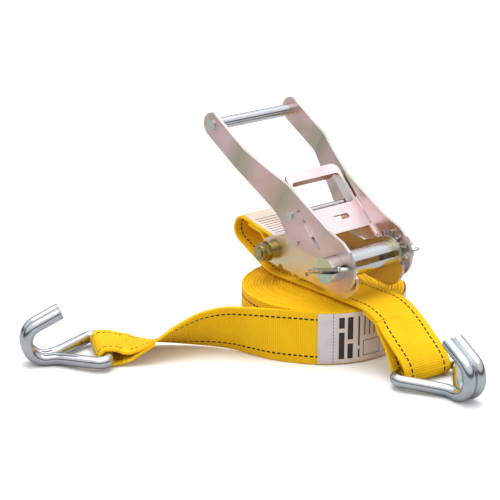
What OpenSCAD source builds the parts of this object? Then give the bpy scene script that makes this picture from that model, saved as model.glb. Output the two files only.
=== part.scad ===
// Ratchet strap: a two-part tie-down of flat webbing.
// The ratchet and its short strap rest on the coiled long strap.
// Origin: centre of the coil, on the floor.  +X runs from the frame bolt towards the
// spindle, +Y along the spindle, +Z up.  Millimetres.

/* [Webbing] */
// Width of the webbing
web_w = 50; // [48:0.5:50]
// Thickness of the webbing
web_t = 3; // [2.5:0.1:3]
// Outer radius of the coiled long strap
coil_r = 76; // [72:1:80]
// Radius of the open eye in the middle of the coil
coil_eye_r = 14; // [10:1:20]

/* [Ratchet] */
// Distance of the spindle axis from the coil centre
spindle_x = 57; // [55:0.5:60]
// Height of the spindle axis above the floor
spindle_z = 88; // [86:0.5:90]
// Radius of the round formed by the two spindle bars
spindle_r = 11.6; // [11:0.1:12]
// Width of the slot between the spindle bars
slot_w = 5.6; // [5.4:0.1:6]
// Half of the spindle's length
spindle_half = 50; // [46:1:52]
// Thickness of the frame, handle and wheel plates
plate_t = 3; // [2.8:0.1:3]
// Inner face of the frame plates, from the middle plane
frame_in = 26.5; // [26.5:0.1:27]
// Running gap between neighbouring plates
gap = 0.4; // [0.3:0.05:0.5]
// Distance from the spindle axis to the frame bolt
bolt_a = 94.5; // [92:0.5:96]
// Height of the frame bolt relative to the spindle axis
bolt_b = -8.8; // [-10:0.2:-8]

/* [Wheels and pawls] */
// Number of teeth on each ratchet wheel
teeth = 12; // [12:1:12]
// Radius over the tips of the teeth
wheel_r = 21; // [20.5:0.1:21]
// Radius of the wheel between the teeth
root_r = 14.5; // [14:0.1:15]
// Distance of both pawl planes from the spindle axis
pawl_off = 7.4; // [7:0.1:7.6]
// Direction in which the drive pawl slides, from the horizontal
drive_angle = 45.3; // [44:0.1:47]
// Tip of both pawls, measured along their slide from the axis
nose_t = 16; // [16:0.1:17]

/* [Handle] */
// Distance from the spindle axis back to the grip rod
grip_a = 155.8; // [150:1:160]
// Height of the grip rod above the spindle axis
grip_b = 100.6; // [96:1:105]
// Half width of the handle over its outer faces at the grip
grip_half = 49.7; // [48:0.1:52]
// Radius of the grip rod
grip_r = 5.5; // [5:0.1:6]

/* [Hooks] */
// Diameter of the hook wire
wire_d = 11; // [10:0.5:11]
// Radius of the hook's J bend on the wire's centre line
j_r = 17; // [16:0.5:19]
// Angle of the J bend
j_angle = 158; // [150:1:165]
// Length of the straight tip
tip_len = 24; // [20:1:26]

/* [Hidden] */
fine = 64;

// Plate layers, as distances from the middle plane
frame_out = frame_in + plate_t;
wheel_in = frame_out + gap;
wheel_out = wheel_in + plate_t;
arm_in = wheel_out + gap;
arm_out = arm_in + plate_t;
bore_r = spindle_r + 0.08;

// Spindle slot direction, from the horizontal
slot_angle = -14.4;
// The lock pawl sits whole tooth pitches away from the drive pawl
tooth_pitch = 360 / teeth;
lock_angle = drive_angle - 2 * tooth_pitch;
pawl_t = 3;
nose_w = 2.6;

// Handle bends, measured along the handle's own direction
bend_angle = 31;
bend_near_u = 85;
bend_far_u = 138.3;
cross_a = 61.3;
cross_b = 33.5;
cross_r = 3;

// Frame bolt stack
bolt_r = 5;
sleeve_r = 7;
bolt_x = spindle_x - bolt_a;
bolt_z = spindle_z + bolt_b;

// Hooks: the bar lies in the eye of the webbing
wire_r = wire_d / 2;
bar_half = web_w / 2 + 0.4;
corner_r = 7;
corner_turn = 128;
join_r = 20;
leg_v = wire_r + 0.1;
leg_turn = corner_turn - 90;
leg_len = (bar_half + corner_r * sin(corner_turn) - join_r * (1 - cos(leg_turn)) - leg_v) / sin(leg_turn);
eye_in = wire_r + 0.4;
eye_out = eye_in + web_t;
bar_z = eye_out + 0.2;
hook_s = corner_r * (1 - cos(corner_turn)) + leg_len * cos(leg_turn) + join_r * sin(leg_turn);
hook_pitch = asin((bar_z - wire_r) / hook_s);
long_bar = [-82, -189];
long_dir = 244;
short_bar = [136, -5];
short_dir = -7;

// Points of an arc about [cx, cy]
function arc(cx, cy, r, a0, a1, n = 12) =
    [for (i = [0:n]) let (a = a0 + (a1 - a0) * i / n) [cx + r * cos(a), cy + r * sin(a)]];

// Centre line from steps of [length, turn]: straight where turn is 0
function walk(p, h, steps, i = 0) =
    i == len(steps) ? [p] :
    let (n = steps[i][1] == 0 ? 1 : max(2, ceil(abs(steps[i][1]) / 12)))
    let (d = steps[i][0] / n)
    let (q = [for (k = 0, a = h + steps[i][1] / n / 2, s = p;
                   k <= n;
                   s = s + d * [cos(a), sin(a)], a = a + steps[i][1] / n, k = k + 1) s])
    concat([for (k = [0:n - 1]) q[k]], walk(q[n], h + steps[i][1], steps, i + 1));

function unit(v) = v / norm(v);
function normal_at(p, i) =
    let (d = unit(p[min(i + 1, len(p) - 1)] - p[max(i - 1, 0)])) [-d[1], d[0]];

// Flat band of thickness t that follows the centre line p
module band(p, t) {
    n = len(p) - 1;
    polygon(concat(
        [for (i = [0:n]) p[i] + normal_at(p, i) * t / 2],
        [for (i = [n:-1:0]) p[i] - normal_at(p, i) * t / 2]
    ));
}

// Side view of the ratchet: a runs back from the spindle axis, b runs up
module side(y0, y1) {
    translate([spindle_x, 0, spindle_z])
        mirror([1, 0, 0]) rotate([90, 0, 0]) translate([0, 0, -y1])
            linear_extrude(height = y1 - y0) children();
}

// The same piece on the near side (s = -1) or the far side (s = 1)
module layer(s, y0, y1) {
    if (s < 0) side(-y1, -y0) children();
    else side(y0, y1) children();
}

// Pawl frame: X along the slide away from the axis, Y along the spindle, Z across the plate
module pawl_frame(angle) {
    translate([spindle_x, 0, spindle_z])
        mirror([1, 0, 0]) rotate([0, -angle, 0]) translate([0, 0, -pawl_off]) children();
}

module flat(t) {
    translate([0, 0, -t / 2]) linear_extrude(height = t) children();
}

module y_cylinder(x, z, r, y0, y1) {
    translate([x, y1, z]) rotate([90, 0, 0]) cylinder(h = y1 - y0, r = r, $fn = fine);
}

// Triangles between n rings of points, each ring with the same number of sides
function ring_walls(n, sides) =
    [for (i = [0:n - 2]) for (k = [0:sides - 1]) for (half = [0, 1])
        let (a = i * sides + k)
        let (b = i * sides + (k + 1) % sides)
        half == 0 ? [a, b, b + sides] : [a, b + sides, a + sides]];

function heading_at(p, i) = unit(p[min(i + 1, len(p) - 1)] - p[max(i - 1, 0)]);

// Sideways direction carried along the points with no twist
function carried(p, u, i = 0) =
    i == len(p) ? [] :
    let (d = heading_at(p, i))
    let (w = unit(u - (u * d) * d))
    concat([w], carried(p, w, i + 1));

// Solid tube swept along 3-D points, closed at both ends
module sweep(p, r, sides = 8) {
    n = len(p);
    start = heading_at(p, 0);
    across = carried(p, abs(start[2]) < 0.9 ? [0, 0, 1] : [1, 0, 0]);
    rings = [for (i = [0:n - 1])
        let (u = across[i])
        let (v = cross(heading_at(p, i), u))
        [for (k = [0:sides - 1]) p[i] + r * (cos(360 * k / sides) * u + sin(360 * k / sides) * v)]];
    points = [for (ring = rings) for (q = ring) q];
    caps = [[for (k = [sides - 1:-1:0]) k], [for (k = [0:sides - 1]) (n - 1) * sides + k]];
    polyhedron(points, concat(ring_walls(n, sides), caps), convexity = 6);
}

// ---------- long strap ----------

module long_strap_coil() {
    color("gold") difference() {
        cylinder(h = web_w, r = coil_r, $fn = 128);
        translate([0, 0, -1]) cylinder(h = web_w + 2, r = coil_eye_r, $fn = fine);
    }
}

// Lead: [x, y, z, lean] stations of the run that turns from upright to flat
lead = [
    [40, -66.6, 25, 0], [20, -79, 25, 6], [0, -88.5, 25, 14], [-20, -99, 25, 22],
    [-36, -114, 22.5, 34], [-49, -132, 18, 50], [-59, -150, 13, 68], [-66, -163, 10.8, 82],
    [-72, -173, 10.6, 90]
];

module long_strap_lead() {
    n = len(lead);
    half = web_w / 2 - 0.05;
    // Width direction and thickness direction at each station
    rings = [for (i = [0:n - 1])
        let (p = lead[i])
        let (q = lead[min(i + 1, n - 1)] - lead[max(i - 1, 0)])
        let (d = unit([q[0], q[1], 0]))
        let (side_dir = [-d[1], d[0], 0])
        let (wide = cos(p[3]) * [0, 0, 1] + sin(p[3]) * side_dir)
        let (thick = cross(d, wide))
        let (c = [p[0], p[1], p[2]])
        [c + half * wide + web_t / 2 * thick, c + half * wide - web_t / 2 * thick,
         c - half * wide - web_t / 2 * thick, c - half * wide + web_t / 2 * thick]];
    caps = [[3, 2, 1, 0], [for (k = [0:3]) (n - 1) * 4 + k]];
    color("gold") union() {
        polyhedron([for (ring = rings) for (q = ring) q], concat(ring_walls(n, 4), caps), convexity = 4);
        at_bar(long_bar, long_dir) web_eye(12);
    }
}

// Sewn eye round a hook bar, with a short tail back along the webbing
module web_eye(tail) {
    difference() {
        union() {
            y_cylinder(0, 0, eye_out, -web_w / 2, web_w / 2);
            translate([-eye_out - tail, -web_w / 2, -1.2])
                cube([eye_out + tail, web_w, 2 * web_t]);
        }
        y_cylinder(0, 0, eye_in, -web_w, web_w);
    }
}

// Frame of a hook bar: X along the hook, Y along the bar
module at_bar(bar, dir) {
    translate([bar[0], bar[1], bar_z]) rotate([0, 0, dir]) children();
}

module long_strap_label() {
    label_t = 0.8;
    color("mistyrose") intersection() {
        difference() {
            cylinder(h = web_w - 2, r = coil_r + 0.3 + label_t, $fn = 128);
            translate([0, 0, -1]) cylinder(h = web_w, r = coil_r + 0.2, $fn = 128);
        }
        translate([0, 0, 1]) rotate([0, 0, -45]) rotate_extrude(angle = 105, $fn = 96)
            translate([coil_r - 5, 0]) square([12, web_w - 3]);
    }
}

// ---------- hooks ----------

// Wire centre line from the middle of the bar to the tip of the J, on one side
hook_half = concat(
    [for (i = [0:8]) let (a = corner_turn * i / 8)
        [corner_r * (1 - cos(a)), bar_half + corner_r * sin(a), 0]],
    [for (i = [4:-1:0]) let (a = leg_turn * i / 4)
        [hook_s - join_r * sin(a), leg_v + join_r * (1 - cos(a)), 0]],
    [for (i = [1:13]) let (a = j_angle * i / 13)
        [hook_s + j_r * sin(a), leg_v, j_r * (1 - cos(a))]],
    [[hook_s + j_r * sin(j_angle) + tip_len * cos(j_angle), leg_v,
      j_r * (1 - cos(j_angle)) + tip_len * sin(j_angle)]]
);
hook_wire = concat(
    [for (i = [len(hook_half) - 1:-1:0]) [hook_half[i][0], -hook_half[i][1], hook_half[i][2]]],
    hook_half
);

module wire_hook() {
    rotate([0, hook_pitch, 0]) sweep(hook_wire, wire_r, 14);
}

module long_hook() {
    color("silver") at_bar(long_bar, long_dir) wire_hook();
}

module short_hook() {
    color("silver") at_bar(short_bar, short_dir) wire_hook();
}

// ---------- short strap ----------

// Centre line in X, Z from the top of the bolt eye, round the fold and under the frame
bolt_eye_in = sleeve_r + 0.4;
eye_heading = 166;
run_start = [bolt_x, bolt_z] + (bolt_eye_in + web_t / 2) * [cos(eye_heading - 90), sin(eye_heading - 90)];
short_run = walk(run_start, eye_heading,
    [[20, 3], [27, -3], [36, 168], [34.2, 0], [27, 26], [103.6, 0], [30, -36], [46, 0]]);
// Tail of the hook's eye, in the frame of the hook bar, from the bar back up to the run
short_tail = [[-7.4, -1], [-12, 2], [-16.5, 9], [-24, 19], [-31, 28], [-36, 34.5]];

// Webbing of full width along a centre line in X, Z
module web_along(p) {
    translate([0, web_w / 2, 0]) rotate([90, 0, 0]) linear_extrude(height = web_w) band(p, web_t);
}

module short_strap() {
    color("gold") difference() {
        union() {
            y_cylinder(bolt_x, bolt_z, bolt_eye_in + web_t, -web_w / 2, web_w / 2);
            difference() {
                web_along(short_run);
                // room for the hook's far corner as it swings
                translate([122, 18.5, 0]) cube([40, 20, 60]);
            }
            at_bar(short_bar, short_dir) {
                y_cylinder(0, 0, eye_out, -web_w / 2, web_w / 2);
                web_along(short_tail);
            }
        }
        y_cylinder(bolt_x, bolt_z, bolt_eye_in, -web_w, web_w);
        at_bar(short_bar, short_dir) y_cylinder(0, 0, eye_in, -web_w, web_w);
    }
}

module short_strap_label() {
    color("mistyrose") translate([0, 22, 0]) rotate([90, 0, 0]) linear_extrude(height = 44)
        translate([0, web_t / 2 + 0.6]) band([for (i = [1:4]) short_run[i]], 0.8);
}

// ---------- frame ----------

module frame_outline() {
    polygon(concat(
        arc(0, 0, 16, 60, 196, 14),
        [[-18.9, -6.8]],
        arc(2, -8, 22.2, 190, 270, 10),
        [[30, -26.5], [76.5, -22.6]],
        arc(81.5, -22.6, 3.5, 180, 0, 8),
        arc(bolt_a, bolt_b, 12.5, -95, 70, 12),
        [[73, 10.7], [52, 8], [32, 4.5]]
    ));
}

module frame_plate(s) {
    pin_y = s < 0 ? -frame_out - 1 : frame_in - 1;
    color("tan") difference() {
        layer(s, frame_in, frame_out) difference() {
            frame_outline();
            circle(bore_r, $fn = fine);
            translate([bolt_a, bolt_b]) circle(bolt_r + 0.1, $fn = fine);
            for (h = tie_tenons) translate([tie_a - 0.05, h - 0.05]) square([plate_t + 0.1, tenon_h + 0.1]);
        }
        // slot that the lock pawl slides in
        pawl_frame(lock_angle)
            translate([29.3, pin_y, -pawl_t / 2 - 0.25]) cube([21.4, plate_t + 2, pawl_t + 0.5]);
    }
}

module frame_plate_near() {
    frame_plate(-1);
}

module frame_plate_far() {
    frame_plate(1);
}

// Cross plate that spaces the frame plates and seats the lock spring
tie_a = 66;
tie_low = -28;
tenon_h = 4;
tie_tenons = [-20, -12];

module frame_tie() {
    color("tan") {
        side(-frame_in, frame_in) translate([tie_a, tie_low]) square([plate_t, -8 - tie_low]);
        side(-frame_out, frame_out)
            for (h = tie_tenons) translate([tie_a, h]) square([plate_t, tenon_h]);
        pawl_frame(lock_angle) translate([65, 0, 0]) rotate([0, 90, 0])
            cylinder(h = 6.5, r = 1.9, $fn = fine);
    }
}

module frame_bolt() {
    color("goldenrod") {
        y_cylinder(bolt_x, bolt_z, bolt_r, -frame_out - 16.5, frame_out);
        side(frame_out, frame_out + 6) translate([bolt_a, bolt_b]) circle(9, $fn = 6);
    }
}

module ring_y(r_out, r_in, y0, y1) {
    difference() {
        y_cylinder(bolt_x, bolt_z, r_out, y0, y1);
        y_cylinder(bolt_x, bolt_z, r_in, y0 - 1, y1 + 1);
    }
}

module bolt_sleeve() {
    color("silver") ring_y(sleeve_r, bolt_r + 0.1, -frame_in, frame_in);
}

module bolt_collar() {
    color("goldenrod") ring_y(8, bolt_r + 0.1, -frame_out - 5, -frame_out);
}

module bolt_washer() {
    color("goldenrod") ring_y(9.5, bolt_r + 0.1, -frame_out - 6.5, -frame_out - 5);
}

module lock_nut() {
    color("darkkhaki") difference() {
        union() {
            side(-frame_out - 12, -frame_out - 6.5) translate([bolt_a, bolt_b]) circle(9, $fn = 6);
            y_cylinder(bolt_x, bolt_z, 7.4, -frame_out - 15, -frame_out - 12);
        }
        y_cylinder(bolt_x, bolt_z, bolt_r + 0.02, -frame_out - 17, -frame_out);
    }
}

// ---------- pawls and springs ----------

// Bevelled nose that drops between the teeth, on both sides of a pawl plate
module pawl_noses(t_end) {
    for (y0 = [-wheel_in - 0.2 - nose_w, wheel_in + 0.2])
        translate([0, y0 + nose_w, 0]) rotate([90, 0, 0]) linear_extrude(height = nose_w)
            polygon([[nose_t, -0.75], [nose_t + 4, -1.3], [nose_t + 6, -pawl_t / 2], [t_end, -pawl_t / 2],
                     [t_end, pawl_t / 2], [nose_t + 6, pawl_t / 2], [nose_t + 4, 1.3], [nose_t, 0.75]]);
}

nose_out = wheel_in + 0.2 + nose_w;

module lock_pawl() {
    color("tan") pawl_frame(lock_angle) union() {
        flat(pawl_t) difference() {
            union() {
                translate([30, -nose_out]) square([12, 2 * nose_out]);
                translate([30, -25.5]) square([20, 51]);
            }
            translate([36, 0]) circle(3, $fn = fine);
        }
        pawl_noses(30);
        // peg inside the spring
        translate([50, 0, 0]) rotate([0, 90, 0]) cylinder(h = 5, r = 1.4, $fn = fine);
    }
}

// Open-wound compression spring along X
function helix(len, r, turns, per = 14) =
    [for (i = [0:turns * per]) [len * i / (turns * per), r * cos(360 * i / per), r * sin(360 * i / per)]];

module lock_pawl_spring() {
    color("silver") pawl_frame(lock_angle)
        translate([50.6, 0, 0]) sweep(helix(18.2, 3, 6), 0.5, 6);
}

slot_t0 = 23;
slot_t1 = 64.5;
loop_half = 32;
loop_in = loop_half - pawl_t;
flange_h = 8.5;
window_t0 = 60;
bar_t0 = 91;
bar_t1 = 101;
window_r = 4;
bar_corner = 7;

// Finger window between the pawl's plate and its pull bar
module rounded_window() {
    translate([window_t0 + window_r, -loop_in]) square([bar_t0 - window_t0 - 2 * window_r, 2 * loop_in]);
    translate([window_t0, -loop_in + window_r]) square([bar_t0 - window_t0, 2 * (loop_in - window_r)]);
    for (t = [window_t0 + window_r, bar_t0 - window_r]) for (s = [-1, 1])
        translate([t, s * (loop_in - window_r)]) circle(window_r, $fn = fine);
}

module drive_pawl() {
    color("thistle") pawl_frame(drive_angle) union() {
        flat(pawl_t) difference() {
            union() {
                translate([33, -nose_out]) square([24, 2 * nose_out]);
                translate([36, -arm_out - 1.5]) square([14, 2 * arm_out + 3]);
                translate([50, -loop_half]) square([bar_t1 - bar_corner - 50, 2 * loop_half]);
                translate([50, -loop_half + bar_corner]) square([bar_t1 - 50, 2 * (loop_half - bar_corner)]);
                for (s = [-1, 1]) translate([bar_t1 - bar_corner, s * (loop_half - bar_corner)])
                    circle(bar_corner, $fn = fine);
            }
            rounded_window();
            // oblong hole
            translate([45, -2]) square([5, 14]);
            for (y = [-2, 12]) translate([47.5, y]) circle(2.5, $fn = fine);
        }
        pawl_noses(33);
        // folded edges round the window: under the pull bar and down both sides
        translate([bar_t0, -loop_in + window_r, -flange_h]) cube([pawl_t, 2 * (loop_in - window_r), flange_h]);
        for (y = [-loop_half, loop_in])
            translate([57, y, -flange_h]) cube([bar_t1 - bar_corner - 57, pawl_t, flange_h]);
        // tongue that presses on the spring
        translate([43, 0, -14.5]) cube([2, 10, 14]);
    }
}

module drive_pawl_spring() {
    color("silver") pawl_frame(drive_angle)
        translate([45.6, 5, -12]) sweep(helix(17.4, 2.3, 6), 0.4, 6);
}

// ---------- spindle ----------

// Half-round outlines of the two spindle bars
module half_rounds(grow) {
    rotate(slot_angle) for (s = [-1, 1])
        intersection() {
            circle(spindle_r + grow, $fn = fine);
            translate([-20, s > 0 ? slot_w / 2 - grow : -20 - slot_w / 2 + grow]) square([40, 20]);
        }
}

cotter_y = 43;
cotter_r = 3;

module spindle_bar(s) {
    color("gainsboro") difference() {
        side(-spindle_half, spindle_half) rotate(slot_angle) intersection() {
            circle(spindle_r, $fn = fine);
            translate([-20, s > 0 ? slot_w / 2 : -20 - slot_w / 2]) square([40, 20]);
        }
        for (y = [-cotter_y, cotter_y]) along_slot(y) translate([-20, 0, 0])
            rotate([0, 90, 0]) cylinder(h = 40, r = cotter_r + 0.1, $fn = fine);
    }
}

// Frame with X along the spindle slot, at height y along the spindle
module along_slot(y) {
    translate([spindle_x, y, spindle_z]) mirror([1, 0, 0]) rotate([0, -slot_angle, 0]) children();
}

module spindle_bar_upper() {
    spindle_bar(1);
}

module spindle_bar_lower() {
    spindle_bar(-1);
}

module wheel_outline() {
    difference() {
        union() {
            circle(root_r, $fn = fine);
            for (k = [0:teeth - 1]) rotate(drive_angle + tooth_pitch * (k + 0.25)) translate([0, -pawl_off])
                polygon([[11, -1.5], [19.6, -0.8], [19.6, 0.8], [11, 1.5]]);
        }
        half_rounds(0.05);
    }
}

module ratchet_wheel_near() {
    color("silver") layer(-1, wheel_in, wheel_out) wheel_outline();
}

module ratchet_wheel_far() {
    color("silver") layer(1, wheel_in, wheel_out) wheel_outline();
}

// Split pin: one wire doubled into a shaft, with an open eye and two spread legs
module cotter_pin(y) {
    leg_r = 1.25;
    color("silver") along_slot(y) {
        translate([-14, 0, 0]) rotate([0, 90, 0]) cylinder(h = 28, r = 2.7, $fn = fine);
        for (s = [-1, 1]) translate([12.5, s * leg_r, 0]) rotate([0, 90, s * 8])
            cylinder(h = 13, r = leg_r, $fn = 24);
        translate([-17.5, 0, 0]) rotate_extrude($fn = fine) translate([4, 0]) circle(1.35, $fn = 24);
    }
}

module cotter_pin_near() {
    cotter_pin(-cotter_y);
}

module cotter_pin_far() {
    cotter_pin(cotter_y);
}

// ---------- handle ----------

module arm_outline() {
    polygon(concat(
        [[108, 85.6], [59, 57.6], [10.8, 31.5], [-7.6, 24.6], [-16.5, 18]],
        arc(0, 0, 23, 160, 365, 22),
        [[65, 6.6], [68.9, 18.7], [74.7, 26.3], [83.2, 34.4], [120.5, 66.5]],
        arc(grip_a, grip_b, 11.7, -59, 121, 12)
    ));
}

// Path of the bent plate seen from above the handle: u along it, y outwards
module arm_bends(s) {
    grip_in = grip_half - plate_t;
    inner = [[-60, s * arm_in], [bend_near_u, s * arm_in], [bend_far_u, s * grip_in], [230, s * grip_in]];
    outer = [[230, s * grip_half], [bend_far_u, s * grip_half], [bend_near_u, s * arm_out], [-60, s * arm_out]];
    polygon(concat(inner, outer));
}

module handle_arm(s) {
    color("rosybrown") difference() {
        union() {
            intersection() {
                layer(s, arm_in - 1, grip_half + 1) arm_outline();
                translate([spindle_x, 0, spindle_z]) mirror([1, 0, 0]) rotate([0, -bend_angle, 0])
                    translate([0, 0, -80]) linear_extrude(height = 160) arm_bends(s);
            }
            // pressed lug
            layer(s, arm_out - 1, arm_out + 1.5) translate([52, 10.5]) circle(3, $fn = fine);
        }
        layer(s, arm_in - 2, arm_out + 4) {
            circle(bore_r, $fn = fine);
            translate([cross_a, cross_b]) circle(cross_r - 0.5, $fn = fine);
        }
        layer(s, arm_out, grip_half + 2) translate([grip_a, grip_b]) circle(grip_r - 1.5, $fn = fine);
        pawl_frame(drive_angle) translate([slot_t0, s > 0 ? arm_in - 2 : -arm_out - 4, -pawl_t / 2 - 0.25])
            cube([slot_t1 - slot_t0, plate_t + 6, pawl_t + 0.5]);
    }
}

module handle_arm_near() {
    handle_arm(-1);
}

module handle_arm_far() {
    handle_arm(1);
}

// Rod with reduced ends riveted over the arms
module riveted_rod(a, b, r, neck, inner, outer, head_r) {
    side(-inner, inner) translate([a, b]) circle(r, $fn = fine);
    side(-outer, outer) translate([a, b]) circle(neck, $fn = fine);
    for (y = [-outer - 1.4, outer]) side(y, y + 1.4) translate([a, b]) circle(head_r, $fn = fine);
}

module grip_rod() {
    color("silver") riveted_rod(grip_a, grip_b, grip_r, grip_r - 1.55, grip_half - plate_t, grip_half, 5.6);
}

module cross_rod() {
    color("silver") riveted_rod(cross_a, cross_b, cross_r, cross_r - 0.55, arm_in, arm_out, 4);
}

long_strap_coil();
long_strap_lead();
long_strap_label();
long_hook();
short_strap();
short_strap_label();
short_hook();
frame_plate_near();
frame_plate_far();
frame_bolt();
bolt_sleeve();
bolt_collar();
bolt_washer();
lock_nut();
frame_tie();
lock_pawl();
lock_pawl_spring();
spindle_bar_upper();
spindle_bar_lower();
ratchet_wheel_near();
ratchet_wheel_far();
cotter_pin_near();
cotter_pin_far();
handle_arm_near();
handle_arm_far();
grip_rod();
cross_rod();
drive_pawl();
drive_pawl_spring();
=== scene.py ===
"""Ratchet strap: the looks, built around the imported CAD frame.

Sizes in this file are millimetres in the part's frame (origin at the coil's centre on the
floor, +X towards the spindle, +Y along the spindle, +Z up) and are turned to metres
where a mesh is made. Angles are degrees, except where math.radians is called.
"""
import math

import bpy
from mathutils import Matrix, Vector

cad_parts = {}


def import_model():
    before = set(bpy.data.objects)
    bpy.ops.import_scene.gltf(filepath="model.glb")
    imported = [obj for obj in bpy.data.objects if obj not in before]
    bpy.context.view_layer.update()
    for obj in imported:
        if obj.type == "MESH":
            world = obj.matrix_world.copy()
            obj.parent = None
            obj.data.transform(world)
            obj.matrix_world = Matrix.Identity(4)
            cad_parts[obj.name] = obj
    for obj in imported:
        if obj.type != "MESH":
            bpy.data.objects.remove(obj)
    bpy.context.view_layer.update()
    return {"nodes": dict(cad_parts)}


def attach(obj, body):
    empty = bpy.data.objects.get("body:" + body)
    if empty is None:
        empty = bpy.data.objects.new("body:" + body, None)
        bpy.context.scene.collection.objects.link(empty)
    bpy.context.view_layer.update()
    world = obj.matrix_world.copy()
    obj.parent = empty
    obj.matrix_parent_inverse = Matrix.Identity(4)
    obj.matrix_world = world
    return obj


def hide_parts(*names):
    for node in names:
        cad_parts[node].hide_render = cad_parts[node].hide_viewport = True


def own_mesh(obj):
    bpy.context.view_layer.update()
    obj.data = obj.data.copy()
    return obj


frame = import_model()

MM = 0.001
UP = Vector((0, 0, 1))
ACROSS = Vector((0, 1, 0))

# Webbing: its shown width is a little under the real one, and its tracer lines lie in from its edges
WEB_W = 50.0
SHOWN_W = WEB_W - 0.4
WEB_T = 2.8
TRACER_IN = 7.5
TRACER_HALF = 0.72
DASH_PITCH = 5

# Coil: radii of its outer and inner turns, pitch of its turns, and the angle at which the lead leaves
COIL_OUT = 75.1
COIL_IN = 15.3
COIL_PITCH = 2.95
COIL_LEAVES = -59.0
COIL_MID_Z = WEB_W / 2
COIL_STEPS = 80

# Labels
LONG_LABEL_W = 47
LONG_LABEL_R = 76.95
LONG_LABEL_LIFT = 0.5
LONG_LABEL_START = -45
LONG_LABEL_ARC = 105
SHORT_LABEL_W = 46

# Ratchet: spindle and bolt axes, the pawls' slide angles and the slope of the handle
SPINDLE = Vector((57.0, 0.0, 88.0))
BOLT = Vector((-37.5, 0.0, 79.2))
DRIVE_ANGLE = 45.3
LOCK_ANGLE = -14.7
PAWL_OFF = 7.4
HANDLE_LINE = math.radians(31)
HANDLE_BENDS = (85, 138.3)

# Hooks: wire radius, each bar's centre and the way each hook points
WIRE_R = 5.5
BAR_Z = 9.1
LONG_BAR = Vector((-82.0, -189.0, BAR_Z))
LONG_DIR = 244.0
SHORT_BAR = Vector((136.0, -5.0, BAR_Z))
SHORT_DIR = -7.0


# ---------------------------------------------------------------- vectors and paths

def polar(angle, r=1.0):
    """Point at an angle in degrees, in the XY plane."""
    a = math.radians(angle)
    return Vector((r * math.cos(a), r * math.sin(a), 0))


def in_side(a, b, y=0.0):
    """Point of the ratchet's side view."""
    return SPINDLE + Vector((-a, y, b))


def in_pawl(angle, t, y, n):
    """Point in a pawl's frame: t along its slide, n across its plate."""
    c, s = math.cos(math.radians(angle)), math.sin(math.radians(angle))
    n -= PAWL_OFF
    return in_side(t * c - n * s, t * s + n * c, y)


def at_bar(bar, direction, x, y, z):
    """Point in a hook's frame: x along the hook, y along its bar."""
    return bar + polar(direction, x) + polar(direction + 90, y) + UP * z


def walk(start, heading, steps, seg=1.5):
    """Line in the XZ plane from steps of (length, turn in degrees)."""
    points = [Vector(start)]
    for length, turn in steps:
        n = max(1, round(length / seg))
        for _ in range(n):
            heading += turn / n / 2
            a = math.radians(heading)
            points.append(points[-1] + Vector((math.cos(a), 0, math.sin(a))) * length / n)
            heading += turn / n / 2
    return points


def smooth(points, per=8):
    """Catmull-Rom curve through the points; each is a list of numbers."""
    out = []
    last = len(points) - 1
    for i in range(last):
        p = [points[max(i - 1, 0)], points[i], points[i + 1], points[min(i + 2, last)]]
        for k in range(per):
            t = k / per
            w = (
                (-t + 2 * t * t - t ** 3) / 2,
                (2 - 5 * t * t + 3 * t ** 3) / 2,
                (t + 4 * t * t - 3 * t ** 3) / 2,
                (-t * t + t ** 3) / 2,
            )
            out.append([sum(w[j] * p[j][c] for j in range(4)) for c in range(len(p[0]))])
    out.append(list(points[-1]))
    return out


def headings(line):
    """Direction of travel at each point of a line."""
    last = len(line) - 1
    return [(line[min(i + 1, last)] - line[max(i - 1, 0)]).normalized() for i in range(last + 1)]


def lengths(line):
    """Distance travelled at each point of a line."""
    out = [0.0]
    for a, b in zip(line, line[1:]):
        out.append(out[-1] + (b - a).length)
    return out


# ---------------------------------------------------------------- mesh making

def mesh_object(name, verts, faces, material, uvs=None, angle=40):
    """Object from points in millimetres; uvs holds one (u, v) per face corner."""
    mesh = bpy.data.meshes.new(name)
    mesh.from_pydata([v * MM for v in verts], [], faces)
    if uvs:
        layer = mesh.uv_layers.new(name="strap")
        flat = [c for face in uvs for uv in face for c in (uv[0] * MM, uv[1] * MM)]
        layer.data.foreach_set("uv", flat)
    mesh.validate()
    mesh.materials.append(material)
    for polygon in mesh.polygons:
        polygon.use_smooth = True
    mesh.set_sharp_from_angle(angle=math.radians(angle))
    obj = bpy.data.objects.new(name, mesh)
    bpy.context.scene.collection.objects.link(obj)
    return obj


def loft(name, rings, material, us=None, vs=None, angle=40):
    """Closed skin over rings of points, capped at both ends."""
    sides = len(rings[0])
    verts = [p for ring in rings for p in ring]
    faces, uvs = [], []
    for i in range(len(rings) - 1):
        for k in range(sides):
            m = (k + 1) % sides
            faces.append((i * sides + k, i * sides + m, (i + 1) * sides + m, (i + 1) * sides + k))
            if us:
                uvs.append([(us[k], vs[i]), (us[m], vs[i]), (us[m], vs[i + 1]), (us[k], vs[i + 1])])
    end = (len(rings) - 1) * sides
    faces.append(tuple(reversed(range(sides))))
    faces.append(tuple(end + k for k in range(sides)))
    if us:
        uvs.append([(us[k], vs[0]) for k in reversed(range(sides))])
        uvs.append([(us[k], vs[-1]) for k in range(sides)])
    return mesh_object(name, verts, faces, material, uvs if us else None, angle)


def band_profile(width, thick, across=8, corner=0.8):
    """Points (x, y) round a flat band with rounded edges."""
    r = min(corner, thick / 2)
    flat = width / 2 - r
    half = thick / 2 - r
    points = []
    for side in (1, -1):
        for i in range(across + 1):
            points.append((side * flat * (2 * i / across - 1), -side * thick / 2))
        for y, turns in ((-half, (30, 60, 90)), (half, (90, 120, 150))):
            for a in (math.radians(t) for t in turns):
                points.append((side * (flat + r * math.sin(a)), side * (y - r * math.cos(a))))
    return points


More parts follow.
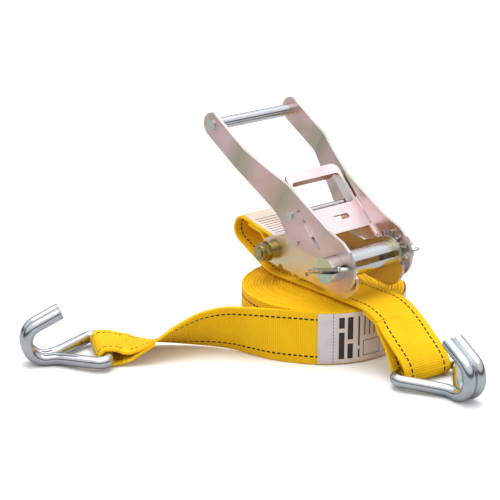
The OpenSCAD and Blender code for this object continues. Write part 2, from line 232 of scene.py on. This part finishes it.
def band(name, line, acrosses, material, width=WEB_W, thick=WEB_T, v0=0.0):
    """Flat band along a line; acrosses gives the width direction at each point."""
    profile = band_profile(width, thick)
    rings = []
    for p, d, a in zip(line, headings(line), acrosses):
        a = (a - d * a.dot(d)).normalized()
        n = d.cross(a)
        rings.append([p + a * x + n * y for x, y in profile])
    us = [x + width / 2 for x, _ in profile]
    return loft(name, rings, material, us, [v0 + s for s in lengths(line)], angle=60)


def tube(name, line, r, material, sides=24, chamfer=0.0, start_across=UP):
    """Round wire along a line, with an optional chamfer at both ends."""
    ds = headings(line)
    if chamfer:
        inner = [line[0] + ds[0] * chamfer, *line[1:-1], line[-1] - ds[-1] * chamfer]
        line = [line[0], *inner, line[-1]]
        ds = [ds[0]] + ds + [ds[-1]]
    u = start_across
    rings = []
    for i, (p, d) in enumerate(zip(line, ds)):
        u = (u - d * u.dot(d)).normalized()
        w = d.cross(u)
        here = r - chamfer if chamfer and i in (0, len(line) - 1) else r
        rings.append([
            p + (u * math.cos(2 * math.pi * k / sides) + w * math.sin(2 * math.pi * k / sides)) * here
            for k in range(sides)
        ])
    return loft(name, rings, material)


# ---------------------------------------------------------------- shader helpers

class Shader:
    """Adds and links the nodes of one material."""

    def __init__(self, name, metallic=0.0, roughness=0.5, ior=1.5):
        self.material = bpy.data.materials.new(name)
        self.material.use_nodes = True
        self.tree = self.material.node_tree
        self.bsdf = self.tree.nodes["Principled BSDF"]
        self.bsdf.inputs["Metallic"].default_value = metallic
        self.bsdf.inputs["Roughness"].default_value = roughness
        self.bsdf.inputs["IOR"].default_value = ior

    def put(self, value, socket):
        """Links an output to a socket, or sets the socket to a plain value."""
        if isinstance(value, bpy.types.NodeSocket):
            self.tree.links.new(value, socket)
        else:
            socket.default_value = value

    def math(self, operation, *values):
        node = self.tree.nodes.new("ShaderNodeMath")
        node.operation = operation
        for value, socket in zip(values, node.inputs):
            self.put(value, socket)
        return node.outputs[0]

    def uv(self):
        """Millimetre map of a band, in metres: across it and along it."""
        node = self.tree.nodes.new("ShaderNodeUVMap")
        node.uv_map = "strap"
        return self.split(node.outputs[0])[:2]

    def place(self, kind="Object"):
        return self.tree.nodes.new("ShaderNodeTexCoord").outputs[kind]

    def split(self, vector):
        node = self.tree.nodes.new("ShaderNodeSeparateXYZ")
        self.put(vector, node.inputs[0])
        return node.outputs

    def stretched(self, vector, scale):
        node = self.tree.nodes.new("ShaderNodeMapping")
        self.put(vector, node.inputs["Vector"])
        node.inputs["Scale"].default_value = scale
        return node.outputs[0]

    def noise(self, vector, scale, detail=2.0, rough=0.5):
        node = self.tree.nodes.new("ShaderNodeTexNoise")
        self.put(vector, node.inputs["Vector"])
        node.inputs["Scale"].default_value = scale
        node.inputs["Detail"].default_value = detail
        node.inputs["Roughness"].default_value = rough
        return node.outputs[0]

    def ramp(self, value, stops):
        node = self.tree.nodes.new("ShaderNodeValToRGB")
        self.put(value, node.inputs[0])
        elements = node.color_ramp.elements
        while len(elements) < len(stops):
            elements.new(0.5)
        for element, (position, colour) in zip(elements, stops):
            element.position = position
            element.color = (*colour, 1)
        return node.outputs[0]

    def scaled(self, value, low, high, to_low, to_high):
        """Value taken from low..high to to_low..to_high, and clamped."""
        node = self.tree.nodes.new("ShaderNodeMapRange")
        for v, socket in zip((value, low, high, to_low, to_high), node.inputs):
            self.put(v, socket)
        return node.outputs[0]

    def mix(self, factor, a, b):
        """Colour a where factor is 0 and colour b where it is 1."""
        node = self.tree.nodes.new("ShaderNodeMix")
        node.data_type = "RGBA"
        self.put(factor, node.inputs[0])
        for value, socket in ((a, node.inputs[6]), (b, node.inputs[7])):
            self.put(value if isinstance(value, bpy.types.NodeSocket) else (*value, 1), socket)
        return node.outputs[2]

    def bump(self, height, distance, strength=1.0):
        node = self.tree.nodes.new("ShaderNodeBump")
        node.inputs["Strength"].default_value = strength
        node.inputs["Distance"].default_value = distance
        self.put(height, node.inputs["Height"])
        self.put(node.outputs[0], self.bsdf.inputs["Normal"])

    def near(self, value, centre, half, soft):
        """1 within half of centre, fading to 0 over soft."""
        away = self.math("ABSOLUTE", self.math("SUBTRACT", value, centre))
        return self.scaled(away, half, half + soft, 1.0, 0.0)

    def colour(self, value):
        self.put(value, self.bsdf.inputs["Base Color"])

    def rough(self, value):
        self.put(value, self.bsdf.inputs["Roughness"])


# ---------------------------------------------------------------- materials

def webbing():
    """Yellow polyester webbing: cross ribs, warp columns, painted shade in the weave's low grooves
    and two black tracer lines.
    """
    s = Shader("webbing", roughness=0.7, ior=1.3)
    u, v = s.uv()
    rib, column = 1.9 * MM, 1.3 * MM
    ribs = s.math("SINE", s.math("MULTIPLY", v, 2 * math.pi / rib))
    shift = s.math("MULTIPLY", s.math("FLOOR", s.math("DIVIDE", v, rib)), math.pi)
    columns = s.math("SINE", s.math("ADD", s.math("MULTIPLY", u, 2 * math.pi / column), shift))
    fuzz = s.noise(s.place(), 2600, 3)
    height = s.math("ADD", s.math("MULTIPLY", ribs, 0.55), s.math("MULTIPLY", columns, 0.3))
    height = s.math("ADD", height, s.math("MULTIPLY", fuzz, 0.5))
    line = s.math(
        "MAXIMUM",
        s.near(u, TRACER_IN * MM, TRACER_HALF * MM, 0.12 * MM),
        s.near(u, (WEB_W - TRACER_IN) * MM, TRACER_HALF * MM, 0.12 * MM),
    )
    dash = s.near(s.math("FRACT", s.math("DIVIDE", v, DASH_PITCH * MM)), 0.5, 0.3, 0.05)
    tracer = s.math("MULTIPLY", line, dash)
    drift = s.noise(s.place(), 28, 2)
    yellow = s.ramp(drift, [(0.3, (0.90, 0.50, 0.002)), (0.7, (0.97, 0.60, 0.004))])
    # painted shade: the low grooves of the weave are darkened towards orange
    groove_shade = s.scaled(height, -0.5, 0.6, 0.6, 0.0)
    yellow = s.mix(groove_shade, yellow, (0.80, 0.36, 0.002))
    s.colour(s.mix(tracer, yellow, (0.006, 0.005, 0.006)))
    s.bump(s.math("ADD", height, s.math("MULTIPLY", tracer, 0.8)), 0.00034, 0.9)
    s.bsdf.inputs["Sheen Weight"].default_value = 0.04
    s.bsdf.inputs["Sheen Roughness"].default_value = 0.5
    s.bsdf.inputs["Sheen Tint"].default_value = (1.0, 0.8, 0.2, 1)
    return s.material


def label_print(name, marks, stitches):
    """Pale woven label with plain printed bars, (u0, v0, u1, v1), and its seam at v = stitches."""
    s = Shader(name, roughness=0.7)
    u, v = s.uv()

    def bar(u0, v0, u1, v1):
        return s.math(
            "MULTIPLY",
            s.near(u, (u0 + u1) / 2 * MM, (u1 - u0) / 2 * MM, 0.15 * MM),
            s.near(v, (v0 + v1) / 2 * MM, (v1 - v0) / 2 * MM, 0.15 * MM),
        )

    ink = bar(*marks[0])
    for mark in marks[1:]:
        ink = s.math("MAXIMUM", ink, bar(*mark))
    thread = s.near(s.math("FRACT", s.math("DIVIDE", u, 3.2 * MM)), 0.5, 0.3, 0.05)
    seam = s.math("MULTIPLY", s.near(v, stitches * MM, 0.3 * MM, 0.1 * MM), thread)
    cloth = s.noise(s.stretched(s.place(), (1, 1, 4)), 900, 3)
    drift = s.noise(s.place(), 35, 2)
    blank = s.ramp(drift, [(0.35, (0.56, 0.50, 0.50)), (0.65, (0.66, 0.60, 0.60))])
    warm = s.ramp(drift, [(0.35, (0.66, 0.52, 0.42)), (0.65, (0.76, 0.66, 0.60))])
    paper = s.mix(s.scaled(v, (stitches + 2) * MM, (stitches + 14) * MM, 0.0, 1.0), blank, warm)
    shade = s.mix(s.scaled(cloth, 0.3, 0.7, 0.25, 0.0), paper, (0.50, 0.42, 0.38))
    inked = s.mix(ink, shade, (0.03, 0.025, 0.03))
    s.colour(s.mix(seam, inked, (0.14, 0.12, 0.12)))
    s.bump(s.math("SUBTRACT", cloth, seam), 0.00008, 0.6)
    return s.material


BRIGHT = [(0.60, 0.63, 0.66), (0.72, 0.74, 0.76)]
BRIGHT_EDGE = (0.84, 0.86, 0.88)
# colour of the painted shade laid across the handle's bends
BEND_SHADE = (0.49, 0.48, 0.35)


def zinc(name, tints, edge, roughness, flow=(1, 1, 1), scale=22, sheared=True, ends=None, bends=()):
    """Passivated zinc: its tints drift, sheared edges are brighter, ends may differ, and painted
    shade darkens the bends.

    ends is the tint of faces square to Y, and bends are distances up the handle from the spindle
    where that painted shade lies.
    """
    s = Shader(name, metallic=1.0)
    place = s.place()
    drift = s.noise(s.stretched(place, flow), scale, 3, 0.55)
    step = 0.44 / (len(tints) - 1)
    face = s.ramp(drift, [(0.28 + i * step, t) for i, t in enumerate(tints)])
    grain = s.noise(s.stretched(place, (1, 1, 6)), 420, 3, 0.6)
    face = s.mix(s.scaled(grain, 0.35, 0.75, 0.0, 0.18), face, edge)
    turned = s.math("ABSOLUTE", s.split(s.place("Normal"))[1])
    if sheared:
        face = s.mix(s.scaled(turned, 0.5, 0.8, 0.75, 0.0), face, edge)
    if ends:
        is_end = s.scaled(turned, 0.8, 0.95, 0.0, 0.9)
        face = s.mix(is_end, face, ends)
        s.put(s.scaled(is_end, 0.0, 1.0, 1.0, 0.35), s.bsdf.inputs["Metallic"])
    # painted shade: a darker band across each bend of the handle
    for u in bends:
        x, _, z = s.split(place)
        back = s.math("MULTIPLY", s.math("SUBTRACT", SPINDLE.x * MM, x), math.cos(HANDLE_LINE))
        up = s.math("MULTIPLY", s.math("SUBTRACT", z, SPINDLE.z * MM), math.sin(HANDLE_LINE))
        bend_shade_zone = s.near(s.math("ADD", back, up), u * MM, 3 * MM, 17 * MM)
        face = s.mix(s.math("MULTIPLY", bend_shade_zone, 0.75), face, BEND_SHADE)
    s.colour(face)
    s.rough(s.scaled(grain, 0.3, 0.7, roughness - 0.05, roughness + 0.07))
    s.bump(grain, 0.00002, 0.5)
    return s.material


def pawl_zinc():
    """Pale pink zinc of the drive pawl, with painted coppery shade where its plate is folded down."""
    s = Shader("pawl_zinc", metallic=1.0)
    place = s.place()
    drift = s.noise(place, 26, 3, 0.5)
    face = s.ramp(drift, [(0.3, (0.82, 0.66, 0.69)), (0.5, (0.92, 0.80, 0.82)),
                          (0.7, (0.80, 0.85, 0.86))])
    grain = s.noise(s.stretched(place, (1, 5, 1)), 380, 3, 0.6)
    # painted coppery shade on faces that look back towards the spindle
    x, _, z = s.split(s.place("Normal"))
    inward_shade = s.math("MULTIPLY", s.math("SUBTRACT", x, z), math.sqrt(0.5))
    face = s.mix(s.scaled(inward_shade, 0.6, 0.85, 0.0, 0.85), face, (0.50, 0.28, 0.17))
    s.colour(face)
    s.rough(s.scaled(grain, 0.3, 0.7, 0.30, 0.42))
    s.bump(grain, 0.00002, 0.4)
    return s.material


MAT = {
    "webbing": webbing(),
    "long_label": label_print(
        "long_label",
        [(4, 19, 29, 24), (33, 19, 43, 24), (4, 27, 18, 32), (22, 27, 43, 32),
         (4, 37, 12, 38.5), (15, 37, 43, 38.5),
         (5, 42, 5.5, 60), (19, 42, 19.5, 60), (5, 42, 19.5, 42.5), (5, 59.5, 19.5, 60),
         (24, 43, 43, 44), (24, 48, 38, 49), (24, 53, 41, 54), (4, 66, 43, 67), (4, 72, 32, 73)],
        14,
    ),
    "short_label": label_print(
        "short_label",
        [(4, 5 + 4 * i, 40 - 5 * (i % 3), 5.7 + 4 * i) for i in range(8)],
        2,
    ),
    "hook": zinc("hook_zinc", [(0.42, 0.54, 0.57), (0.62, 0.67, 0.69), (0.60, 0.54, 0.62)],
                 (0.76, 0.80, 0.83), 0.17, scale=30, sheared=False),
    "rod": zinc("rod_zinc", [*BRIGHT, (0.66, 0.68, 0.64)], BRIGHT_EDGE, 0.15,
                scale=30, sheared=False, ends=(0.42, 0.47, 0.45)),
    "upper_bar": zinc("upper_bar_zinc", BRIGHT, BRIGHT_EDGE, 0.14,
                      scale=30, sheared=False, ends=(0.50, 0.50, 0.27)),
    "lower_bar": zinc("lower_bar_zinc", BRIGHT, BRIGHT_EDGE, 0.14,
                      scale=30, sheared=False, ends=(0.32, 0.52, 0.54)),
    "wheel": zinc("wheel_zinc", [(0.42, 0.45, 0.45), (0.55, 0.58, 0.58), (0.48, 0.50, 0.44)],
                  (0.74, 0.77, 0.78), 0.26),
    "handle": zinc("handle_zinc",
                   [(0.53, 0.50, 0.37), (0.74, 0.56, 0.49), (0.86, 0.62, 0.60), (0.89, 0.71, 0.72)],
                   (0.66, 0.66, 0.68), 0.33, flow=(1, 1, 1.4), bends=HANDLE_BENDS),
    "frame": zinc("frame_zinc", [(0.74, 0.64, 0.36), (0.86, 0.74, 0.49), (0.89, 0.67, 0.56)],
                  (0.70, 0.66, 0.60), 0.32),
    "bolt": zinc("bolt_zinc", [(0.26, 0.30, 0.13), (0.44, 0.38, 0.15), (0.50, 0.33, 0.18)],
                 (0.62, 0.56, 0.34), 0.22, scale=60, sheared=False),
    "spring": zinc("spring_steel", [(0.40, 0.41, 0.43), (0.56, 0.58, 0.60)], (0.7, 0.72, 0.74), 0.25,
                   sheared=False),
    "pawl": pawl_zinc(),
}


# ---------------------------------------------------------------- long strap

def coil_line():
    """Centre line of the wound turns, from the open eye out; inner turns stand a little proud."""
    turns = (COIL_OUT - COIL_IN) / COIL_PITCH
    n = round(turns * COIL_STEPS)
    points = []
    for i in range(n + 1):
        left = turns * (1 - i / n)
        angle = COIL_LEAVES + 360 * left
        settle = 0.35 * math.sin(2.1 * left + 0.8 * math.sin(3.7 * left)) + 1.6 * left / turns
        p = polar(angle, COIL_OUT - COIL_PITCH * left)
        points.append(p + UP * (COIL_MID_Z + settle * min(1.0, left)))
    return points


# x, y, z and lean of the lead, which turns from upright to flat
LEAD = [
    (20, -77.4, 25, 4), (2, -87, 25, 12), (-18, -98, 24.6, 22), (-35, -113, 22, 34),
    (-48, -131, 18, 50), (-58.5, -149, 13.4, 68), (-66, -163, 12, 82), (-71, -172, 12.4, 90),
]
# how far back under the lead each point of the sewn tail lies, and its distance from the lead
LEAD_TAIL = [(3, 6.9), (8, 4.9), (12, 3.4), (16, 2.9), (20, 2.9)]
EYE_R = WIRE_R + 0.35 + WEB_T / 2


def round_bar(start, end):
    """Points (x, z) of webbing round a hook bar, between two angles from the vertical."""
    n = round(abs(end - start) / 18)
    angles = [math.radians(start + (end - start) * i / n) for i in range(n + 1)]
    return [(EYE_R * math.sin(a), EYE_R * math.cos(a)) for a in angles]


def extend(line, acrosses, route, per=5):
    """Adds a smooth route of (point, width direction) pairs after the end of a line."""
    for p in smooth([[*point, *across] for point, across in route], per)[1:]:
        line.append(Vector(p[:3]))
        acrosses.append(Vector(p[3:]))


def long_strap():
    """Coil, lead, eye round the hook bar and sewn tail, as one length of webbing."""
    line = coil_line()
    acrosses = [UP.copy() for _ in line]
    before, end = line[-6], line[-1]
    per = 10
    stations = [(before.x, before.y, COIL_MID_Z, 0), (end.x, end.y, COIL_MID_Z, 0), *LEAD]
    lead = smooth(stations, per)[per + 1:]
    points = [Vector(p[:3]) for p in lead]
    ds = headings(points)
    lead_across = []
    for d, station in zip(ds, lead):
        lean = math.radians(station[3])
        left = Vector((-d.y, d.x, 0)).normalized()
        lead_across.append(UP * math.cos(lean) + left * math.sin(lean))
    line += points
    acrosses += lead_across
    bar_axis = polar(LONG_DIR + 90)
    over = [(-13, 4.9), (-6.5, 6.7)]
    under = [(-6, -6.8), (-13, -5.9)]
    route = [(points[-1], lead_across[-1])]
    for x, z in over + round_bar(5, 167) + under:
        route.append((at_bar(LONG_BAR, LONG_DIR, x, 0, z), bar_axis))
    # the tail closes up under the lead and is sewn to it
    for back, gap in LEAD_TAIL:
        i = len(points) - back
        up = ds[i].cross(lead_across[i]).normalized()
        route.append((points[i] - up * gap, lead_across[i]))
    extend(line, acrosses, route)
    obj = band("long_strap", line, acrosses, MAT["webbing"], width=SHOWN_W)
    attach(obj, "long_strap")
    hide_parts("long_strap_coil", "long_strap_lead")


def long_label():
    """Label wrapped on the outside of the coil, lifting slightly at its free end."""
    steps = 60
    line = []
    for i in range(steps + 1):
        r = LONG_LABEL_R + LONG_LABEL_LIFT * (i / steps) ** 2
        line.append(polar(LONG_LABEL_START + LONG_LABEL_ARC * i / steps, r) + UP * COIL_MID_Z)
    obj = band("long_strap_label_cloth", line, [UP.copy() for _ in line], MAT["long_label"],
               width=LONG_LABEL_W, thick=0.5)
    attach(obj, "long_strap")
    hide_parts("long_strap_label")


# ---------------------------------------------------------------- short strap

# the webbing leaves the bolt's sleeve at an angle round the bolt, with a heading
BOLT_EYE_R = 8.7
BOLT_EYE_TOP = 76
EYE_HEADING = 166
# length and turn of each step: back from the bolt, round the fold, then under the frame and down
SHORT_RUN = [(20, 3), (27, -3), (36, 168), (34.2, 0), (27, 26), (103.6, 0), (30, -33)]
# points of the run under which the sewn tail at the bolt starts and ends
BOLT_TAIL = (27, 14)
# the hook end in the hook's frame, (x, z): down to the bar, and the tail's way back up
TO_HOOK = [(-27, 30.1), (-17, 23.6), (-7.5, 17.3), (0, 11.9), (4.8, 6.9)]
FROM_HOOK = [(-5.6, -5.8), (-10.6, -1.4), (-14.6, 5.4), (-20, 13.8), (-26, 21.6), (-31.5, 27.2)]


def round_bolt(angle):
    """Point of the webbing round the bolt's sleeve."""
    a = math.radians(angle)
    return BOLT + Vector((math.cos(a), 0, math.sin(a))) * BOLT_EYE_R


def short_strap():
    """Sewn eye on the bolt sleeve, fold, run under the frame and eye on the hook bar."""
    run = walk(round_bolt(BOLT_EYE_TOP), EYE_HEADING, SHORT_RUN)
    ds = headings(run)

    def below(i):
        up = ds[i].cross(ACROSS)
        return run[i] - up * math.copysign(WEB_T + 0.1, up.z)

    # tail under the upper run, then round the sleeve from below
    line = [below(BOLT_TAIL[0])]
    acrosses = [ACROSS.copy()]
    start = [below(i) for i in range(*BOLT_TAIL, -1)] + [round_bolt(a) for a in range(-118, 70, 11)]
    extend(line, acrosses, [(p, ACROSS) for p in start], 2)
    line += run
    acrosses += [ACROSS.copy() for _ in run]
    # down to the hook, where the strap turns with the hook's bar, round it and back up
    bar_axis = polar(SHORT_DIR + 90)
    route = [(run[-1], ACROSS)]
    for x, z in TO_HOOK + round_bar(72, 175) + FROM_HOOK:
        route.append((at_bar(SHORT_BAR, SHORT_DIR, x, 0, z), bar_axis))
    for i in range(len(run) - 2, len(run) - 18, -4):
        route.append((below(i), ACROSS))
    extend(line, acrosses, route)
    obj = band("short_strap_webbing", line, acrosses, MAT["webbing"], width=SHOWN_W)
    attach(obj, "short_strap")
    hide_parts("short_strap")
    return run


def short_label(run):
    """Small label sewn on top of the upper run."""
    ds = headings(run)
    line = []
    for i in range(3, 34):
        n = ds[i].cross(ACROSS)
        n = n if n.z > 0 else -n
        line.append(run[i] + n * (WEB_T / 2 + 0.3))
    obj = band("short_strap_label_cloth", line, [ACROSS.copy() for _ in line], MAT["short_label"],
               width=SHORT_LABEL_W, thick=0.4)
    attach(obj, "short_strap")
    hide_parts("short_strap_label")


# ---------------------------------------------------------------- hooks

# the wire's bend from the bar to a leg, the bend that brings the legs together, the J and its tip
HOOK = {
    "corner_r": 7.0, "corner_turn": 128.0, "join_r": 20.0,
    "j_r": 17.0, "j_angle": 158.0, "tip": 24.0,
}


def hook_line():
    """Wire centre line in the hook's frame, from tip to tip."""
    turn, join = math.radians(HOOK["corner_turn"]), math.radians(HOOK["corner_turn"] - 90)
    bar_half = WEB_W / 2 + 0.4
    leg_y = WIRE_R + 0.1
    r, jr, jj = HOOK["corner_r"], HOOK["j_r"], HOOK["join_r"]
    leg = (bar_half + r * math.sin(turn) - jj * (1 - math.cos(join)) - leg_y) / math.sin(join)
    hook_x = r * (1 - math.cos(turn)) + leg * math.cos(join) + jj * math.sin(join)
    # half of the wire, from the middle of the bar: corner, leg, join, J and tip
    half = [Vector((0, 0, 0)), Vector((0, bar_half * 0.6, 0))]
    for i in range(17):
        a = turn * i / 16
        half.append(Vector((r * (1 - math.cos(a)), bar_half + r * math.sin(a), 0)))
    for i in range(9, -1, -1):
        a = join * i / 9
        half.append(Vector((hook_x - jj * math.sin(a), leg_y + jj * (1 - math.cos(a)), 0)))
    bend = math.radians(HOOK["j_angle"])
    for i in range(1, 33):
        a = bend * i / 32
        half.append(Vector((hook_x + jr * math.sin(a), leg_y, jr * (1 - math.cos(a)))))
    tip = half[-1] + Vector((math.cos(bend), 0, math.sin(bend))) * HOOK["tip"]
    half.append(half[-1].lerp(tip, 0.5))
    half.append(tip)
    pitch = math.asin((BAR_Z - WIRE_R) / hook_x)
    mirrored = [Vector((p.x, -p.y, p.z)) for p in reversed(half[1:])]
    turn_down = Matrix.Rotation(pitch, 3, "Y")
    return [turn_down @ p for p in mirrored + half]


def wire_hook(name, bar, direction, node):
    """Double-J hook bent from one wire."""
    spin = Matrix.Rotation(math.radians(direction), 3, "Z")
    line = [bar + spin @ p for p in hook_line()]
    obj = tube(name, line, WIRE_R, MAT["hook"], sides=32, chamfer=0.6,
               start_across=polar(direction + 90))
    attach(obj, node)
    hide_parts(node)


# ---------------------------------------------------------------- springs


def spring(name, angle, ends, middle, coil_r, wire, turns, body, node):
    """Compression spring with close end turns.

    ends are its first and last t in the pawl's frame, and middle is its (y, n) there.
    """
    (t0, t1), (y, n) = ends, middle
    steps = 22
    total = turns + 2
    line = []
    for i in range(total * steps + 1):
        w = i / steps
        grow = min(max(w - 1, 0.0), turns) / turns
        close = min(w, 1.0) + max(w - 1 - turns, 0.0)
        t = t0 + wire * 2 * close + (t1 - t0 - 4 * wire) * grow
        a = 2 * math.pi * w
        line.append(in_pawl(angle, t, y + coil_r * math.cos(a), n + coil_r * math.sin(a)))
    obj = tube(name, line, wire, MAT["spring"], sides=10)
    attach(obj, body)
    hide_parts(node)
    axis = (in_pawl(angle, 1, 0, 0) - in_pawl(angle, 0, 0, 0)).normalized()
    tuple(in_pawl(angle, t1, y, n) * MM)
    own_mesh(obj)


# ---------------------------------------------------------------- CAD nodes that show

FINISH = {
    "handle": ["handle_arm_near", "handle_arm_far"],
    "frame": ["frame_plate_near", "frame_plate_far", "frame_tie", "lock_pawl"],
    "pawl": ["drive_pawl"],
    "bolt": ["frame_bolt", "bolt_collar", "bolt_washer", "lock_nut"],
    "rod": ["bolt_sleeve", "grip_rod", "cross_rod"],
    "upper_bar": ["spindle_bar_upper"],
    "lower_bar": ["spindle_bar_lower"],
    "wheel": ["ratchet_wheel_near", "ratchet_wheel_far", "cotter_pin_near", "cotter_pin_far"],
}


def finish_cad(round_off=0.35):
    """Gives each CAD node that shows its material and slightly rounded edges."""
    for material, nodes in FINISH.items():
        for name in nodes:
            obj = frame["nodes"][name]
            obj.data.materials.clear()
            obj.data.materials.append(MAT[material])
            bevel = obj.modifiers.new("edge", "BEVEL")
            bevel.width = round_off * MM
            bevel.segments = 2
            bevel.limit_method = "ANGLE"
            bevel.angle_limit = math.radians(40)
            bevel.use_clamp_overlap = True
            bevel.harden_normals = False


# ---------------------------------------------------------------- stage

# the camera fitted to the photo, in metres
CAMERA_PLACE = (1.081, -0.994, 0.573)
CAMERA_LOOK = Vector((-0.7264, 0.6098, -0.3173))
CAMERA_LENS = 121.7
LIGHTS_AIM = Vector((0.0, -0.02, 0.08))

# brightness of the room: what diffuse rays see, and what metal sees from straight down to straight up
ROOM = 0.8
BRIGHTEST = 2.4
REFLECTED = [(0.0, 0.5), (0.04, 0.3), (0.12, 0.05), (0.26, 0.1),
             (0.36, 0.75), (0.76, 1.0), (0.82, 2.4), (0.95, 2.2)]

FLOOR_HALF = 4000
FLOOR_Z = -0.05


def camera():
    data = bpy.data.cameras.new("camera")
    data.lens = CAMERA_LENS
    data.sensor_width = 36
    data.clip_start = 0.05
    obj = bpy.data.objects.new("camera", data)
    obj.location = CAMERA_PLACE
    obj.rotation_euler = CAMERA_LOOK.to_track_quat("-Z", "Y").to_euler()
    bpy.context.scene.collection.objects.link(obj)
    bpy.context.scene.camera = obj


def soft_light(name, place, size, watts):
    """White panel that lights the part but isn't seen in its metal."""
    data = bpy.data.lights.new(name, "AREA")
    data.shape = "RECTANGLE"
    data.size, data.size_y = size
    data.energy = watts
    obj = bpy.data.objects.new(name, data)
    obj.location = place
    obj.visible_glossy = False
    aim = LIGHTS_AIM - Vector(place)
    obj.rotation_euler = aim.to_track_quat("-Z", "Y").to_euler()
    bpy.context.scene.collection.objects.link(obj)


def world():
    """Even pale room; the metal sees a dark band near the horizon and a bright strip overhead."""
    made = bpy.data.worlds.new("studio")
    bpy.context.scene.world = made
    made.use_nodes = True
    tree = made.node_tree
    background = tree.nodes["Background"]
    split = tree.nodes.new("ShaderNodeSeparateXYZ")
    tree.links.new(tree.nodes.new("ShaderNodeTexCoord").outputs["Generated"], split.inputs[0])
    ramp = tree.nodes.new("ShaderNodeValToRGB")
    tree.links.new(split.outputs[2], ramp.inputs[0])
    while len(ramp.color_ramp.elements) < len(REFLECTED):
        ramp.color_ramp.elements.new(0.5)
    for element, (position, level) in zip(ramp.color_ramp.elements, REFLECTED):
        grey = level / BRIGHTEST
        element.position = position
        element.color = (grey, grey, grey * 1.02, 1)
    light_path = tree.nodes.new("ShaderNodeLightPath")
    mix = tree.nodes.new("ShaderNodeMix")
    mix.data_type = "RGBA"
    tree.links.new(light_path.outputs["Is Glossy Ray"], mix.inputs[0])
    room = ROOM / BRIGHTEST
    mix.inputs[6].default_value = (room, room, room, 1)
    tree.links.new(ramp.outputs[0], mix.inputs[7])
    tree.links.new(mix.outputs[2], background.inputs[0])
    background.inputs[1].default_value = BRIGHTEST


def floor():
    """White paper to the camera, darker in reflections and in the light that it throws back."""
    s = Shader("floor_paper", roughness=0.9)
    light_path = s.tree.nodes.new("ShaderNodeLightPath")
    paper = s.mix(light_path.outputs["Is Glossy Ray"], (0.93, 0.93, 0.93), (0.40, 0.40, 0.41))
    s.colour(s.mix(light_path.outputs["Is Diffuse Ray"], paper, (0.60, 0.60, 0.60)))
    signs = ((-1, -1), (1, -1), (1, 1), (-1, 1))
    corners = [Vector((x * FLOOR_HALF, y * FLOOR_HALF, FLOOR_Z)) for x, y in signs]
    obj = mesh_object("floor", corners, [(0, 1, 2, 3)], s.material)


camera()
world()
floor()
soft_light("key", (0.2, -1.5, 1.7), (1.2, 1.2), 6.5)
soft_light("top", (-0.2, 0.1, 1.9), (1.6, 1.6), 30)
soft_light("side", (1.8, 0.5, 0.9), (0.9, 1.2), 9)
bpy.context.scene.view_settings.view_transform = "Standard"

long_strap()
long_label()
short_label(short_strap())
wire_hook("long_hook_wire", LONG_BAR, LONG_DIR, "long_hook")
wire_hook("short_hook_wire", SHORT_BAR, SHORT_DIR, "short_hook")
spring("lock_spring", LOCK_ANGLE, ends=(50.6, 68.8), middle=(0, 0), coil_r=3.0, wire=0.5, turns=6,
       body="frame", node="lock_pawl_spring")
spring("drive_spring", DRIVE_ANGLE, ends=(45.6, 63.0), middle=(5, -12), coil_r=2.3, wire=0.4, turns=6,
       body="handle", node="drive_pawl_spring")
finish_cad()
